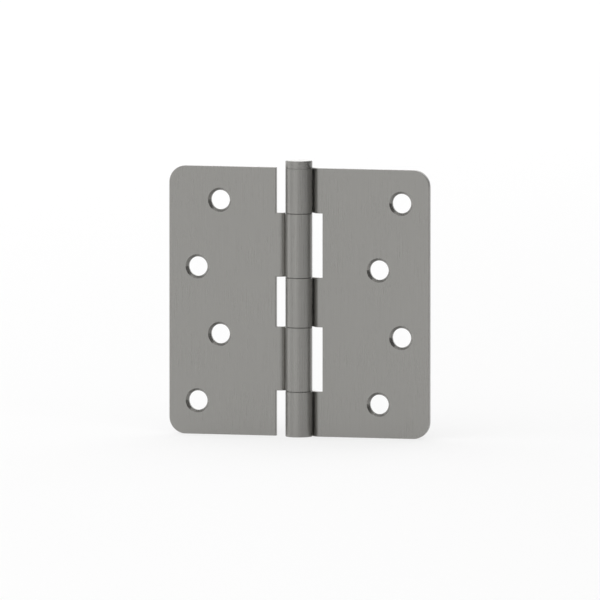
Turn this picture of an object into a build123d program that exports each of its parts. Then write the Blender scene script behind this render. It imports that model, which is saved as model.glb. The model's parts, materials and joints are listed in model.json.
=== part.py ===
from build123d import *
import os
from math import asin, cos, degrees, radians, sin, tan

# Plain bearing butt hinge, open flat. All sizes are in millimetres. +Z runs up the pin, the origin is on the pin
# axis at the lower end of the barrel, and -Y is the side that the screw heads go in from.

# Leaf sheet
leaf_height = 101.6
leaf_reach = 50.8
sheet = 2.16
corner_radius = 6.35
closed_gap = 0.5
edge_break = 0.15

# Barrel, swage and seam
barrel_diameter = 10.2
swage_reach = 1.42
swage_angle = 52.0
swage_bend_inside = 0.4
seam_gap = 0.15

# Knuckles along the barrel
end_knuckle = 17.05
long_knuckle = 24.2
knuckle_gap = 0.1
notch_clearance = 4.05

# Screw holes
screws_per_leaf = 4
screw_row_pitch = 25.4
near_screw_reach = 31.05
screw_stagger = 8.75
screw_hole_diameter = 7.35
countersink_diameter = 9.2
countersink_angle = 82.0

# Pin
pin_running_clearance = 0.05
pin_head_height = 2.9
pin_head_round = 0.4
pin_end_recess = 1.6
pin_point_length = 1.2
pin_point_inset = 0.8

# Positions that follow from the sizes above
barrel_radius = barrel_diameter / 2
bore_radius = barrel_radius - sheet
leaf_front = closed_gap / 2
leaf_back = leaf_front + sheet
swage_depth = bore_radius - leaf_front
swage_lean = radians(swage_angle)
swage_mitre = sheet * tan(swage_lean / 2)
swage_crest = barrel_radius + swage_reach
swage_root = swage_crest - swage_depth / tan(swage_lean)
swage_bend_outside = swage_bend_inside + sheet
flat_start = swage_crest + swage_bend_outside * tan(swage_lean / 2)
seam_angle = degrees(asin((bore_radius - seam_gap) / barrel_radius))
curl_start = 90
curl_turn = 360 - curl_start + seam_angle
cut_edge = barrel_radius + notch_clearance
far_screw_reach = near_screw_reach + screw_stagger
first_screw_row = (leaf_height - (screws_per_leaf - 1) * screw_row_pitch) / 2
screw_rows = [first_screw_row + n * screw_row_pitch for n in range(screws_per_leaf)]
drill_depth = 2 * sheet
middle_knuckle = leaf_height - 2 * end_knuckle - 2 * long_knuckle - 4 * knuckle_gap
lower_long_start = end_knuckle + knuckle_gap
middle_start = lower_long_start + long_knuckle + knuckle_gap
upper_long_start = middle_start + middle_knuckle + knuckle_gap
top_start = upper_long_start + long_knuckle + knuckle_gap
pin_radius = bore_radius - pin_running_clearance
shank_start = pin_end_recess + pin_point_length

os.makedirs("parts", exist_ok=True)


def on_circle(radius, angle):
    """Point on a circle round the pin axis, counted from +X towards +Y."""
    return (radius * cos(radians(angle)), radius * sin(radians(angle)))


def outline_edges(leaf):
    """Edges round a leaf's flat front and back faces, without the smooth lines where its swage begins."""
    front, back = leaf.faces().filter_by(Axis.Y).group_by(Axis.Y)[:2]
    rims = front[0].outer_wire().edges() + back[0].outer_wire().edges()
    return [rim for rim in rims if max(abs((rim @ 0).X), abs((rim @ 1).X)) > flat_start + edge_break]


def cut_notches(spans):
    """Takes room for the other leaf's knuckles out of the leaf being built."""
    for start, height in spans:
        with Locations((0, 0, start - knuckle_gap)):
            Box(
                2 * cut_edge,
                2 * cut_edge,
                height + 2 * knuckle_gap,
                align=(Align.CENTER, Align.CENTER, Align.MIN),
                mode=Mode.SUBTRACT,
            )


def sink_screw_holes(places):
    """Countersunk holes from the front of the leaf being built."""
    with Locations(Plane((0, leaf_front, 0), x_dir=(1, 0, 0), z_dir=(0, -1, 0))):
        with Locations(*places):
            CounterSinkHole(
                screw_hole_diameter / 2,
                countersink_diameter / 2,
                depth=drill_depth,
                counter_sink_angle=countersink_angle,
            )


# Section of the rolled sheet, seen along the pin: flat leaf, swage, then the curl round the pin to its seam
with BuildSketch(Plane.XY) as rolled_sheet:
    with BuildLine() as outline:
        Polyline(
            (leaf_reach, leaf_front),
            (swage_crest, leaf_front),
            (swage_root, bore_radius),
            (0, bore_radius),
        )
        CenterArc((0, 0), bore_radius, curl_start, curl_turn)
        Line(on_circle(bore_radius, seam_angle), on_circle(barrel_radius, seam_angle))
        CenterArc((0, 0), barrel_radius, curl_start, curl_turn)
        Polyline(
            (0, barrel_radius),
            (swage_root + swage_mitre, barrel_radius),
            (swage_crest + swage_mitre, leaf_back),
            (leaf_reach, leaf_back),
        )
        Line((leaf_reach, leaf_back), (leaf_reach, leaf_front))
    make_face()
    front_crest = rolled_sheet.vertices().sort_by_distance((swage_crest, leaf_front))[0]
    back_crest = rolled_sheet.vertices().sort_by_distance((swage_root + swage_mitre, barrel_radius))[0]
    fillet([front_crest, back_crest], swage_bend_outside)
    front_root = rolled_sheet.vertices().sort_by_distance((swage_root, bore_radius))[0]
    back_root = rolled_sheet.vertices().sort_by_distance((swage_crest + swage_mitre, leaf_back))[0]
    fillet([front_root, back_root], swage_bend_inside)

# Right leaf, fixed to the door frame: top, middle and bottom knuckles
with BuildPart() as frame_leaf:
    add(rolled_sheet.sketch)
    extrude(amount=leaf_height)
    cut_notches([(lower_long_start, long_knuckle), (upper_long_start, long_knuckle)])
    fillet(frame_leaf.edges().filter_by(Axis.Y).group_by(Axis.X)[-1], corner_radius)
    chamfer(outline_edges(frame_leaf), edge_break)
    near_places = [(near_screw_reach, row) for row in screw_rows[0::2]]
    far_places = [(far_screw_reach, row) for row in screw_rows[1::2]]
    sink_screw_holes(near_places + far_places)
frame_leaf.part.label = "frame_leaf"
export_step(frame_leaf.part, "parts/frame_leaf.step")

# Left leaf, fixed to the door: the two long knuckles between the other three
with BuildPart() as door_leaf:
    mirror(rolled_sheet.sketch, about=Plane.YZ)
    extrude(amount=leaf_height)
    cut_notches([(0, end_knuckle), (middle_start, middle_knuckle), (top_start, end_knuckle)])
    fillet(door_leaf.edges().filter_by(Axis.Y).group_by(Axis.X)[0], corner_radius)
    chamfer(outline_edges(door_leaf), edge_break)
    near_places = [(-near_screw_reach, row) for row in screw_rows[1::2]]
    far_places = [(-far_screw_reach, row) for row in screw_rows[0::2]]
    sink_screw_holes(near_places + far_places)
door_leaf.part.label = "door_leaf"
export_step(door_leaf.part, "parts/door_leaf.step")

# Loose pin: a flat head as wide as the barrel rests on the top knuckle, and the shank runs down through all five
with BuildPart() as hinge_pin:
    with Locations((0, 0, pin_end_recess)):
        Cone(
            pin_radius - pin_point_inset,
            pin_radius,
            pin_point_length,
            align=(Align.CENTER, Align.CENTER, Align.MIN),
        )
    with Locations((0, 0, shank_start)):
        Cylinder(
            pin_radius,
            leaf_height - shank_start,
            align=(Align.CENTER, Align.CENTER, Align.MIN),
        )
    with Locations((0, 0, leaf_height)):
        Cylinder(
            barrel_radius,
            pin_head_height,
            align=(Align.CENTER, Align.CENTER, Align.MIN),
        )
    upper_rim = hinge_pin.edges().filter_by(GeomType.CIRCLE).sort_by(Axis.Z)[-1]
    fillet(upper_rim, pin_head_round)
hinge_pin.part.label = "hinge_pin"
export_step(hinge_pin.part, "parts/hinge_pin.step")
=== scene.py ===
# %% [markdown]
# # A door hinge in satin steel
# A butt hinge is two stamped steel leaves that swing about one pin. The solids come from the packed
# CAD frame, in metres, with the pin along Z and the side that the screw heads go in from facing -Y.
# They already have the right shape, so nothing is modelled twice. This lesson gives them their
# finish: belt grain, plating, turned screw seats, rubbed edges and the soft light that makes satin
# metal look like metal.

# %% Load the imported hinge
import json
from math import cos, pi, radians, sin

import bpy
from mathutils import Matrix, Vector


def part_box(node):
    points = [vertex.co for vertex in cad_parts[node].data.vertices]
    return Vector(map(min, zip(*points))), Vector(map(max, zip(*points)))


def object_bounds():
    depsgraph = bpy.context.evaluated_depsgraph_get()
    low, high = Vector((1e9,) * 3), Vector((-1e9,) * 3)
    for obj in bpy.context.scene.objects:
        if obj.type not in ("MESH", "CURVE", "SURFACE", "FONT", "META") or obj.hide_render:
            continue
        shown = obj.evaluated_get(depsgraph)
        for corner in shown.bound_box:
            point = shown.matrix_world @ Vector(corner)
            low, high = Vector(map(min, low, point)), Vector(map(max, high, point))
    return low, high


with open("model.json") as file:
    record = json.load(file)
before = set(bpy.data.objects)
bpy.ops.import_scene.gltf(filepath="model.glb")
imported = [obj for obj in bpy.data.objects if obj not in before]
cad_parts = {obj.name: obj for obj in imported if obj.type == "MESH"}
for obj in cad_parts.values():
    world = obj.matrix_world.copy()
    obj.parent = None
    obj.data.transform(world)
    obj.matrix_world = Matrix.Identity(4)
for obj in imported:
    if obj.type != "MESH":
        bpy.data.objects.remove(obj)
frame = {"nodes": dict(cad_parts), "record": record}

MM = 0.001
cad_low, cad_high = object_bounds()
hinge_size = [round(side / MM, 2) for side in cad_high - cad_low]
print("hinge nodes:", sorted(frame["nodes"]), "size in mm:", hinge_size)

# %% [markdown]
# ## Small helpers for node trees
# Every finish below is a node tree, and most of its steps are sums on numbers that vary over the
# steel. A few helpers keep such a tree readable: one adds a node and fills its sockets by name, and
# the others add a node that works on values and hand back its result. A socket in place of a number
# becomes a link.

# %% Helpers that add nodes
def plug(tree, socket, value):
    """Links value into socket if it is a socket itself, and otherwise writes it there."""
    if isinstance(value, bpy.types.NodeSocket):
        tree.links.new(value, socket)
    else:
        socket.default_value = value


def add(tree, kind, sockets=None, **settings):
    """A new node with its settings made and its named input sockets filled."""
    node = tree.nodes.new("ShaderNode" + kind)
    for name, value in settings.items():
        setattr(node, name, value)
    for name, value in (sockets or {}).items():
        plug(tree, node.inputs[name], value)
    return node


def calc(tree, operation, *values):
    """The result of one Math node."""
    node = add(tree, "Math", operation=operation)
    for socket, value in zip(node.inputs, values):
        plug(tree, socket, value)
    return node.outputs["Value"]


def vector_calc(tree, operation, first, second, output="Vector"):
    """The result of one Vector Math node."""
    node = add(tree, "VectorMath", operation=operation)
    plug(tree, node.inputs[0], first)
    plug(tree, node.inputs[1], second)
    return node.outputs[output]


def weigh(tree, first, first_weight, second, second_weight):
    """The sum of two values, each times its weight."""
    first_part = calc(tree, "MULTIPLY", first, first_weight)
    second_part = calc(tree, "MULTIPLY", second, second_weight)
    return calc(tree, "ADD", first_part, second_part)


def spread(tree, value, low, high, to_low=0.0, to_high=1.0):
    """value, with low to high stretched to to_low to to_high and held inside them."""
    sockets = {"From Min": low, "From Max": high, "To Min": to_low, "To Max": to_high}
    return add(tree, "MapRange", {"Value": value, **sockets}, clamp=True).outputs["Result"]


print("helpers ready: plug, add, calc, vector_calc, weigh, spread")

# %% [markdown]
# ## Node groups
# An effect that several finishes share is built once as a node group with named sockets, and each
# finish sets its own values on it. In Blender 4.5 the sockets of a group are made on its interface.
# Most groups start from the place on the piece and from a noise. A noise could be anything from 0 to
# 1, but it seldom leaves the range from 0.3 to 0.7, so that range is the one that gets stretched.

# %% Helpers for node groups
NOISE_LOW, NOISE_HIGH = 0.3, 0.7


def start_group(name, inputs, outputs):
    """An empty shader node group, with the sockets to read from and the sockets to fill."""
    tree = bpy.data.node_groups.new(name, "ShaderNodeTree")
    for socket_name, default in inputs.items():
        kind = "NodeSocketFloat" if isinstance(default, float) else "NodeSocketVector"
        socket = tree.interface.new_socket(socket_name, in_out="INPUT", socket_type=kind)
        socket.default_value = default
    for socket_name, kind in outputs.items():
        tree.interface.new_socket(socket_name, in_out="OUTPUT", socket_type="NodeSocket" + kind)
    given = tree.nodes.new("NodeGroupInput").outputs
    result = tree.nodes.new("NodeGroupOutput").inputs
    return tree, given, result


def place(tree, group, sockets):
    """The group as a node in tree, with its inputs filled, handed back as its outputs."""
    node = tree.nodes.new("ShaderNodeGroup")
    node.node_tree = group
    for name, value in sockets.items():
        plug(tree, node.inputs[name], value)
    return node.outputs


def on_the_piece(tree):
    """The place on the piece itself, in metres, which stays with it when it swings."""
    return add(tree, "TexCoord").outputs["Object"]


def noise(tree, sockets, **settings):
    """The value of a Noise Texture."""
    return add(tree, "TexNoise", sockets, **settings).outputs["Fac"]


def per_metre(tree, length_mm):
    """How often a length in millimetres fits into a metre: the scale of a noise that wide."""
    return calc(tree, "DIVIDE", 1 / MM, length_mm)


def distance_mm(tree, first, second):
    """The distance in millimetres from a line, out of the two offsets across it in metres."""
    squares = calc(tree, "ADD", calc(tree, "POWER", first, 2.0), calc(tree, "POWER", second, 2.0))
    return calc(tree, "DIVIDE", calc(tree, "SQRT", squares), MM)


print("group helpers ready: start_group, place, on_the_piece, noise, per_metre, distance_mm")

# %% [markdown]
# ## Belt grain
# Satin steel gets its look from an abrasive belt that leaves fine scratches along the hinge. An
# image of brushed metal would need a UV map and would stretch round the knuckles. Noise that is
# packed tightly across X and Y and drawn out along Z gives the same hairlines anywhere on the solid.

# %% Group: belt grain
grain_group, given, result = start_group(
    "Belt grain",
    {"Lines per mm": 8.0, "Line length mm": 20.0},
    {"Grain": "Float"},
)
across = calc(grain_group, "MULTIPLY", given["Lines per mm"], 1 / MM)
along = per_metre(grain_group, given["Line length mm"])
stretch = add(grain_group, "CombineXYZ", {"X": across, "Y": across, "Z": along}).outputs["Vector"]
stretched = vector_calc(grain_group, "MULTIPLY", on_the_piece(grain_group), stretch)
hairlines = noise(
    grain_group, {"Vector": stretched, "Scale": 1.0, "Detail": 3.0, "Roughness": 0.6}
)
plug(grain_group, result["Grain"], spread(grain_group, hairlines, NOISE_LOW, NOISE_HIGH))
print("made group:", grain_group.name)

# %% [markdown]
# ## Plating cloud
# Plated steel is never one even tone: the plating bath and later hands leave soft, wide patches. A
# low noise, one or two centimetres wide, moves the colour by a few per cent and the roughness by
# 0.05 at most.

# %% Group: plating cloud
cloud_group, given, result = start_group("Plating cloud", {"Patch mm": 18.0}, {"Cloud": "Float"})
patches = noise(
    cloud_group,
    {
        "Vector": on_the_piece(cloud_group),
        "Scale": per_metre(cloud_group, given["Patch mm"]),
        "Detail": 4.0,
        "Roughness": 0.55,
    },
)
plug(cloud_group, result["Cloud"], spread(cloud_group, patches, NOISE_LOW, NOISE_HIGH))
print("made group:", cloud_group.name)

# %% [markdown]
# ## Rubbed edges
# Edges of a real hinge are slightly round and get rubbed bright by hands, doors and boxes. Cutting
# tiny bevels into the mesh would add thousands of faces. A Bevel node bends the normals near an edge
# instead. A second, wider one is never used as a normal: where it leaves the true normal an edge is
# near, and that is the mask for the wear. Noise breaks the band up, because nothing is rubbed evenly.

# %% Group: rubbed edges
BEVEL_SAMPLES = 4
FLAT_ALIKE, EDGE_ALIKE = 0.995, 0.85
PATCH_LOW, PATCH_HIGH = 0.35, 0.65
LEAST_RUB = 0.25
edge_group, given, result = start_group(
    "Rubbed edges",
    {"Width mm": 0.03, "Wear mm": 0.35, "Patch mm": 3.0},
    {"Rub": "Float", "Soft normal": "Vector"},
)
round_over, worn_band = [
    add(
        edge_group,
        "Bevel",
        {"Radius": calc(edge_group, "MULTIPLY", given[reach], MM)},
        samples=BEVEL_SAMPLES,
    ).outputs["Normal"]
    for reach in ("Width mm", "Wear mm")
]
true_normal = add(edge_group, "NewGeometry").outputs["Normal"]
alike = vector_calc(edge_group, "DOT_PRODUCT", worn_band, true_normal, output="Value")
near_edge = spread(edge_group, alike, FLAT_ALIKE, EDGE_ALIKE)
rub_patches = noise(
    edge_group,
    {
        "Vector": on_the_piece(edge_group),
        "Scale": per_metre(edge_group, given["Patch mm"]),
        "Detail": 3.0,
    },
)
rub_amount = spread(edge_group, rub_patches, PATCH_LOW, PATCH_HIGH, to_low=LEAST_RUB)
plug(edge_group, result["Rub"], calc(edge_group, "MULTIPLY", near_edge, rub_amount))
plug(edge_group, result["Soft normal"], round_over)
print("made group:", edge_group.name)

# %% [markdown]
# ## Painted light in the barrel's corners
# Beside the barrel the sheet stands so close that light which bounces between barrel and sheet
# loses most of its strength, and bare grey steel would turn those corners black. So the barrel is
# painted a lighter colour there: painted light that stands in for the lost bounce light, and not a
# plating of its own. Ambient occlusion finds the corners from the shape itself, and the distance from
# the pin's axis keeps the mask to the barrel. Only the piece's own shape counts, so the painted light
# doesn't jump about when a leaf swings.

# %% Group: painted light in the barrel's corners
CORNER_SAMPLES = 8
OPEN, CLOSED_IN = 0.85, 0.5
corner_light_group, given, result = start_group(
    "Painted corner light",
    {"Reach mm": 3.0, "Barrel mm": 5.2},
    {"Painted lift": "Float"},
)
# Painted light: this mask marks the closed-in corners of the barrel, where shade falls, so that they
# can be painted lighter.
openness = add(
    corner_light_group,
    "AmbientOcclusion",
    {"Distance": calc(corner_light_group, "MULTIPLY", given["Reach mm"], MM)},
    samples=CORNER_SAMPLES,
    only_local=True,
).outputs["AO"]
closed_in = spread(corner_light_group, openness, OPEN, CLOSED_IN)
spot = add(corner_light_group, "SeparateXYZ", {"Vector": on_the_piece(corner_light_group)}).outputs
from_pin = distance_mm(corner_light_group, spot["X"], spot["Y"])
on_barrel = calc(corner_light_group, "LESS_THAN", from_pin, given["Barrel mm"])
plug(corner_light_group, result["Painted lift"], calc(corner_light_group, "MULTIPLY", closed_in, on_barrel))
print("made group:", corner_light_group.name)

# %% [markdown]
# ## Turned screw seats
# Each countersink is cut by a turning tool, which leaves rings round the hole where the leaf has
# straight grain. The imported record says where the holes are, on the leaf's back face. The distance
# from a hole's line gives the ring pattern, and the places nearer than the seat's rim belong to the
# seat. The back face itself doesn't, so a hair's breadth in front of it is left out.

# %% Group: turned seat
BACK_MARGIN = 0.05 * MM
seat_group, given, result = start_group(
    "Turned seat",
    {"Hole": (0.0, 0.0, 0.0), "Rim mm": 4.6, "Ring mm": 0.22},
    {"Seat": "Float", "Rings": "Float"},
)
from_hole = vector_calc(seat_group, "SUBTRACT", on_the_piece(seat_group), given["Hole"])
offset = add(seat_group, "SeparateXYZ", {"Vector": from_hole}).outputs
from_axis = distance_mm(seat_group, offset["X"], offset["Z"])
inside_rim = calc(seat_group, "LESS_THAN", from_axis, given["Rim mm"])
before_back = calc(seat_group, "LESS_THAN", offset["Y"], -BACK_MARGIN)
plug(seat_group, result["Seat"], calc(seat_group, "MULTIPLY", inside_rim, before_back))
turns = calc(seat_group, "DIVIDE", from_axis, given["Ring mm"])
wave = calc(seat_group, "SINE", calc(seat_group, "MULTIPLY", turns, 2 * pi))
plug(seat_group, result["Rings"], spread(seat_group, wave, -1.0, 1.0))
print("made group:", seat_group.name)

# %% [markdown]
# ## The steel
# Leaves and pin are one steel, so they share its colours and the way they are wired. The plating
# scatters a part of the light, so the Principled shader is a little short of fully metallic, except
# where an edge is rubbed down to clean metal. Only what varies over the surface is linked to the
# shader, and its other sockets stay as they are.

# %% Colours and wiring of the steel
STEEL = (0.281, 0.276, 0.262, 1.0)
BRIGHT_STEEL = (0.42, 0.415, 0.40, 1.0)
PLATED_METAL, CLEAN_METAL = 0.78, 1.0
MIX_FIRST, MIX_SECOND, MIX_RESULT = 6, 7, 2  # the colour sockets of a Mix node


def start_material(name):
    """An empty material with its Principled shader wired to the output."""
    material = bpy.data.materials.new(name)
    material.use_nodes = True
    shader = material.node_tree.nodes["Principled BSDF"]
    return material, material.node_tree, shader


def blend_colour(tree, share, first, second):
    """first turned towards second by share."""
    node = add(tree, "Mix", data_type="RGBA")
    plug(tree, node.inputs["Factor"], share)
    plug(tree, node.inputs[MIX_FIRST], first)
    plug(tree, node.inputs[MIX_SECOND], second)
    return node.outputs[MIX_RESULT]


def steel_colour(tree, tone, rub):
    """The steel's colour, brightened by tone and then by rub."""
    colour = blend_colour(tree, tone, STEEL, BRIGHT_STEEL)
    return blend_colour(tree, rub, colour, BRIGHT_STEEL)


def wire_steel(tree, shader, edges, colour, rough, bump):
    """Links a steel's colour, roughness and bump to its shader, with soft and rubbed edges."""
    relief = add(tree, "Bump", {"Normal": edges["Soft normal"], **bump})
    plug(tree, shader.inputs["Base Color"], colour)
    plug(tree, shader.inputs["Roughness"], rough)
    plug(tree, shader.inputs["Normal"], relief.outputs["Normal"])
    metal = spread(tree, edges["Rub"], 0.0, 1.0, PLATED_METAL, CLEAN_METAL)
    plug(tree, shader.inputs["Metallic"], metal)


def dress(node, material):
    """Gives a CAD node its finished material."""
    frame["nodes"][node].data.materials.clear()
    frame["nodes"][node].data.materials.append(material)


print("steel ready: start_material, blend_colour, steel_colour, wire_steel, dress")

# %% [markdown]
# ## The leaves' finish
# Both leaves are the same satin steel, but their screw seats stand in different places, so each leaf
# gets a material of its own from one function. The straight grain stops at the seats, where the rings
# take its place.

# %% Satin steel for the leaves
# Painted light: the lighter colour given to the barrel's closed-in corners, in place of the bounce
# light they lose.
CORNER_LIGHT_COLOUR = (0.62, 0.61, 0.58, 1.0)
GRAIN_TONE, CLOUD_TONE, RUB_TONE = 0.22, 0.08, 0.4
LEAF_SMOOTH, LEAF_ROUGH = 0.23, 0.33
CLOUD_ROUGHENS, RUB_SMOOTHS = 0.05, 0.08
GRAIN_RELIEF, RING_RELIEF = 0.4, 0.6
LEAF_BUMP, LEAF_BUMP_DEPTH = 0.25, 0.02 * MM


def leaf_finish(name, holes):
    """Satin steel with turned seats at the given holes, and painted light in the barrel's corners."""
    material, tree, shader = start_material(name)
    grain = place(tree, grain_group, {"Lines per mm": 8.0, "Line length mm": 20.0})["Grain"]
    cloud = place(tree, cloud_group, {"Patch mm": 18.0})["Cloud"]
    edges = place(tree, edge_group, {"Width mm": 0.03, "Wear mm": 0.35, "Patch mm": 3.0})
    painted_corner_light = place(tree, corner_light_group, {"Reach mm": 3.0})["Painted lift"]
    seat, rings = 0.0, 0.0
    for hole in holes:
        cut = place(tree, seat_group, {"Hole": hole})
        seat = calc(tree, "ADD", seat, cut["Seat"])
        rings = calc(tree, "ADD", rings, calc(tree, "MULTIPLY", cut["Seat"], cut["Rings"]))
    grain = calc(tree, "MULTIPLY", grain, calc(tree, "SUBTRACT", 1.0, seat))
    tone = weigh(tree, grain, GRAIN_TONE, cloud, CLOUD_TONE)
    colour = steel_colour(tree, tone, calc(tree, "MULTIPLY", edges["Rub"], RUB_TONE))
    # Painted light: the barrel's corners are turned lighter where shade falls.
    colour = blend_colour(tree, painted_corner_light, colour, CORNER_LIGHT_COLOUR)
    rough = spread(tree, grain, 0.0, 1.0, LEAF_SMOOTH, LEAF_ROUGH)
    rough = calc(tree, "ADD", rough, calc(tree, "MULTIPLY", cloud, CLOUD_ROUGHENS))
    rough = calc(tree, "SUBTRACT", rough, calc(tree, "MULTIPLY", edges["Rub"], RUB_SMOOTHS))
    height = weigh(tree, grain, GRAIN_RELIEF, rings, RING_RELIEF)
    bump = {"Height": height, "Strength": LEAF_BUMP, "Distance": LEAF_BUMP_DEPTH}
    wire_steel(tree, shader, edges, colour, rough, bump)
    return material


def screw_holes(leaf):
    """The places of a leaf's screw holes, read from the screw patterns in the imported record."""
    holes = []
    for mount in frame["record"]["mounts"]:
        if mount["name"].startswith(leaf) and mount["kind"] == "bolt_pattern":
            middle = Vector(mount["pos_m"])
            half_step = Vector((0.0, 0.0, mount["dims"]["spacing_y_mm"] / 2 * MM))
            holes += [middle - half_step, middle + half_step]
    return holes


for leaf in ("frame_leaf", "door_leaf"):
    dress(leaf, leaf_finish("Satin steel " + leaf, screw_holes(leaf)))
    print(leaf, "dressed,", len(screw_holes(leaf)), "screw seats")

# %% [markdown]
# ## Lathe lines
# The pin is turned on a lathe from bar, so its marks run round it and not along it. One noise that
# depends only on the distance from the axis and on the height draws rings on the flat head and on the
# shank alike. It gets a group of its own, because any other turned piece could use it.

# %% Group: lathe lines
lathe_group, given, result = start_group("Lathe lines", {"Lines per mm": 4.0}, {"Lines": "Float"})
spot = add(lathe_group, "SeparateXYZ", {"Vector": on_the_piece(lathe_group)}).outputs
height_mm = calc(lathe_group, "DIVIDE", spot["Z"], MM)
feed = calc(lathe_group, "ADD", distance_mm(lathe_group, spot["X"], spot["Y"]), height_mm)
feed_lines = calc(lathe_group, "MULTIPLY", feed, given["Lines per mm"])
tool_marks = noise(
    lathe_group, {"W": feed_lines, "Scale": 1.0, "Detail": 2.0}, noise_dimensions="1D"
)
plug(lathe_group, result["Lines"], spread(lathe_group, tool_marks, NOISE_LOW, NOISE_HIGH))
print("made group:", lathe_group.name)

# %% [markdown]
# ## The pin's finish
# The pin takes the leaves' two colours, their cloud and their rubbed edges. Only the grain is changed
# for the lathe lines, and the worn band is narrower, because the edges of a turned piece are finer
# than those of a stamped one.

# %% Turned steel for the pin
LINE_TONE, PIN_RUB_TONE = 0.12, 0.5
PIN_SMOOTH, PIN_ROUGH = 0.22, 0.32
PIN_BUMP, PIN_BUMP_DEPTH = 0.2, 0.01 * MM
pin_material, tree, shader = start_material("Turned steel pin")
lines = place(tree, lathe_group, {"Lines per mm": 4.0})["Lines"]
cloud = place(tree, cloud_group, {"Patch mm": 9.0})["Cloud"]
edges = place(tree, edge_group, {"Width mm": 0.03, "Wear mm": 0.25, "Patch mm": 2.0})
tone = weigh(tree, lines, LINE_TONE, cloud, CLOUD_TONE)
colour = steel_colour(tree, tone, calc(tree, "MULTIPLY", edges["Rub"], PIN_RUB_TONE))
rough = spread(tree, calc(tree, "ADD", lines, cloud), 0.0, 2.0, PIN_SMOOTH, PIN_ROUGH)
bump = {"Height": lines, "Strength": PIN_BUMP, "Distance": PIN_BUMP_DEPTH}
wire_steel(tree, shader, edges, colour, rough, bump)
dress("hinge_pin", pin_material)
print("hinge_pin dressed")

# %% [markdown]
# ## Things that stand round the hinge
# The floor, the light panels and a black cloth are plain meshes with one material each, so one helper
# puts them into the scene. Floor and cloth are matt: a Principled shader with no gloss of its own
# takes soft shadows and shows no mirror image. What the camera and shiny metal see of a thing can be
# set apart from the light that it gives, because the Light Path node tells which kind of ray asks.

# %% Helpers for floor, panels and cloth
WHITE = (1.0, 1.0, 1.0, 1.0)


def stand(name, corners, faces, material):
    """A mesh of the given corners and faces, put into the scene."""
    mesh = bpy.data.meshes.new(name)
    mesh.from_pydata(corners, [], faces)
    mesh.materials.append(material)
    thing = bpy.data.objects.new(name, mesh)
    bpy.context.scene.collection.objects.link(thing)
    return thing


def make_matt(shader, colour):
    """Gives a Principled shader a plain colour and no gloss."""
    shader.inputs["Base Color"].default_value = colour
    shader.inputs["Roughness"].default_value = 1.0
    shader.inputs["Specular IOR Level"].default_value = 0.0


def seen_rays(tree):
    """1 for rays by which the camera, metal or glass sees a thing, and 0 for rays that light."""
    rays = add(tree, "LightPath").outputs
    seen = calc(tree, "MAXIMUM", rays["Is Camera Ray"], rays["Is Glossy Ray"])
    return calc(tree, "MAXIMUM", seen, rays["Is Transmission Ray"])


def blend_shaders(tree, share, first, second):
    """first turned towards second by share."""
    node = add(tree, "MixShader", {"Fac": share})
    plug(tree, node.inputs[1], first)
    plug(tree, node.inputs[2], second)
    return node.outputs["Shader"]


print("stage helpers ready: stand, make_matt, seen_rays, blend_shaders")

# %% [markdown]
# ## The floor
# The hinge stands on the lower edges of its leaves on a plain pale floor, large enough to fill the
# picture behind it. About two thirds of what the camera and the metal see of it is plain white, so
# that the background is white without more light on the hinge. The rest is the lit floor, which keeps
# the shadow.

# %% Pale floor
FLOOR_REACH = 12.0
FLOOR_WHITE = 0.65
PALE = (0.93, 0.93, 0.93, 1.0)
floor_material, tree, shader = start_material("Pale floor")
make_matt(shader, PALE)
white = add(tree, "Emission", {"Color": WHITE, "Strength": 1.0}).outputs["Emission"]
white_share = calc(tree, "MULTIPLY", seen_rays(tree), FLOOR_WHITE)
lifted = blend_shaders(tree, white_share, shader.outputs["BSDF"], white)
plug(tree, tree.nodes["Material Output"].inputs["Surface"], lifted)
floor_square = ((-1, -1), (1, -1), (1, 1), (-1, 1))
floor_corners = [(x * FLOOR_REACH, y * FLOOR_REACH, 0.0) for x, y in floor_square]
floor = stand("floor", floor_corners, [(0, 1, 2, 3)], floor_material)
print("floor spans", 2 * FLOOR_REACH, "m")

# %% [markdown]
# ## The light
# Satin metal has no colour of its own in the shadows: it shows a blur of what stands round it. So the
# light is built as surroundings. A ring of cloth panels stands on the floor, lit from behind. They
# are bright behind, on the left and at the front, and dim between those and on the right, so that a
# barrel shows soft bands. Lamps alone would leave the metal black between their reflections. The
# levels are given by degrees round the hinge, from -90 on the left through 0 at the front to 90 on
# the right and 180 behind. A radial gradient runs the same way round and turns them into a ramp,
# whose first and last stop are both on the left.

# %% Light levels round the hinge
LEVELS = {
    -90: 1.9,
    -55: 0.1,
    -15: 1.25,
    20: 0.1,
    150: 0.05,
    180: 1.7,
    210: 2.2,
    240: 0.4,
    270: 1.9,
}
RAMP_START, FULL_TURN = -90, 360
PANEL_LEVEL = max(LEVELS.values())
panel_material = bpy.data.materials.new("Lit cloth panels")
panel_material.use_nodes = True
tree = panel_material.node_tree
tree.nodes.remove(tree.nodes["Principled BSDF"])
around = add(tree, "TexGradient", {"Vector": on_the_piece(tree)}, gradient_type="RADIAL")
ramp = add(tree, "ValToRGB", {"Fac": around.outputs["Fac"]})
elements = ramp.color_ramp.elements
for azimuth in list(LEVELS)[1:-1]:
    elements.new((azimuth - RAMP_START) / FULL_TURN)
for element, level in zip(elements, LEVELS.values()):
    element.color = (level / PANEL_LEVEL, level / PANEL_LEVEL, level / PANEL_LEVEL, 1.0)
glow = add(tree, "Emission", {"Color": ramp.outputs["Color"], "Strength": PANEL_LEVEL})
plug(tree, tree.nodes["Material Output"].inputs["Surface"], glow.outputs["Emission"])
print("panel stops:", [(round(stop.position, 3), round(stop.color[0], 3)) for stop in elements])

# %% [markdown]
# ## The ring of panels
# One band of many flat sides is round enough, because the metal only shows a blur of it. The camera
# doesn't see the ring, so the picture keeps its plain background from every side.

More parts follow.
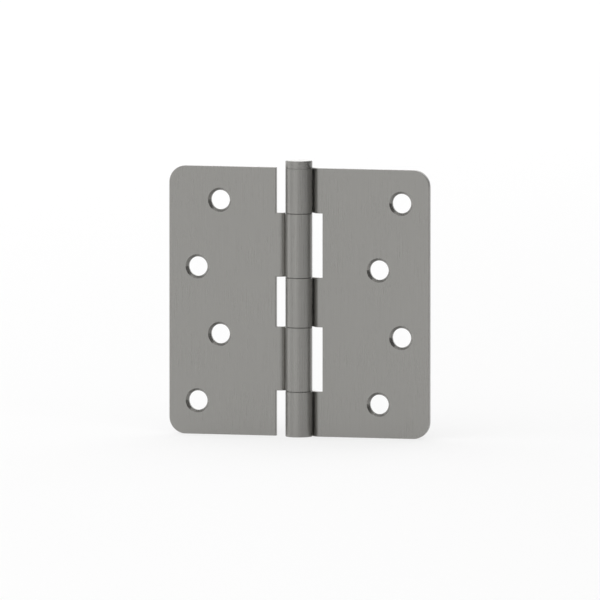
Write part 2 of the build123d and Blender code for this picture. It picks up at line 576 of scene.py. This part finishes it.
# %% Ring of cloth panels
PANEL_RING = 3.0
PANEL_HEIGHT = 1.0
PANEL_SIDES = 96
ring, faces = [], []
for n in range(PANEL_SIDES):
    turn = 2 * pi * n / PANEL_SIDES
    ring += [(PANEL_RING * cos(turn), PANEL_RING * sin(turn), z) for z in (0.0, PANEL_HEIGHT)]
    a, b = 2 * n, 2 * ((n + 1) % PANEL_SIDES)
    faces.append((a, a + 1, b + 1, b))
panels = stand("panels", ring, faces, panel_material)
panels.visible_camera = False
print("panels:", len(faces), "sides,", len(LEVELS), "light levels")

# %% [markdown]
# ## The black flag
# Round metal looks round when one side of it mirrors something dark. Photographers stand a black
# cloth, called a flag, close beside it. Here it stands on the right, so the barrel falls off to that
# side and the screw seats get their dark crescents. The camera doesn't see the cloth itself.

# %% Black flag on the right
FLAG_DISTANCE = 1.3
FLAG_HEIGHT = 2.3
FLAG_FRONT = -0.85
FLAG_BACK = 2.2
BLACK = (0.02, 0.02, 0.02, 1.0)
flag_material, tree, shader = start_material("Black cloth")
make_matt(shader, BLACK)
flag_lower = [(FLAG_DISTANCE, FLAG_FRONT, 0.0), (FLAG_DISTANCE, FLAG_BACK, 0.0)]
flag_upper = [(FLAG_DISTANCE, FLAG_BACK, FLAG_HEIGHT), (FLAG_DISTANCE, FLAG_FRONT, FLAG_HEIGHT)]
flag = stand("flag", flag_lower + flag_upper, [(0, 1, 2, 3)], flag_material)
flag.visible_camera = False
print("flag stands", FLAG_DISTANCE, "m to the right")

# %% [markdown]
# ## The sky
# The world is the large soft light from above. The camera and the metal see it as plain white, and
# its level as a light is set apart from that, so either can be changed without the other.

# %% White sky
SKY_FILL = 1.25
sky = bpy.data.worlds.new("White sky")
bpy.context.scene.world = sky
sky.use_nodes = True
tree = sky.node_tree
tree.nodes.clear()
fill, white = [
    add(tree, "Background", {"Color": WHITE, "Strength": strength}).outputs["Background"]
    for strength in (SKY_FILL, 1.0)
]
either = blend_shaders(tree, seen_rays(tree), fill, white)
add(tree, "OutputWorld", {"Surface": either})
print("sky: white to the eye, fill", SKY_FILL)

# %% [markdown]
# ## The camera
# The picture shows no perspective: edges that are parallel on the hinge are parallel in it. A very
# long lens far away gives that, and it still works when the hinge is seen from other sides. The view
# is from the right and a little from above.

# %% Long lens
VIEW_RIGHT = radians(15.2)
VIEW_ABOVE = radians(4.9)
LENS = 1600.0
SENSOR = 36.0
SIGHT_LIMIT = 100.0
PICTURE_WIDTH = 226.4 * MM
AIM_RIGHT = 0.42 * MM
AIM_UP = 0.84 * MM
camera_data = bpy.data.cameras.new("long lens")
camera_data.lens = LENS
camera_data.sensor_width = SENSOR
camera_data.clip_end = SIGHT_LIMIT
camera = bpy.data.objects.new("camera", camera_data)
bpy.context.scene.collection.objects.link(camera)
bpy.context.scene.camera = camera
level_part = cos(VIEW_ABOVE)
backwards = Vector(
    (sin(VIEW_RIGHT) * level_part, -cos(VIEW_RIGHT) * level_part, sin(VIEW_ABOVE))
)
turned = (-backwards).to_track_quat("-Z", "Y")
leaf_low, leaf_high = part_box("frame_leaf")
leaf_middle = Vector((0.0, 0.0, (leaf_low.z + leaf_high.z) / 2))
aim = leaf_middle + turned @ Vector((AIM_RIGHT, AIM_UP, 0.0))
camera.location = aim + backwards * (PICTURE_WIDTH * LENS / SENSOR)
camera.rotation_mode = "QUATERNION"
camera.rotation_quaternion = turned
bpy.context.scene.view_settings.view_transform = "Standard"
print("camera stands", round((camera.location - aim).length, 2), "m away")
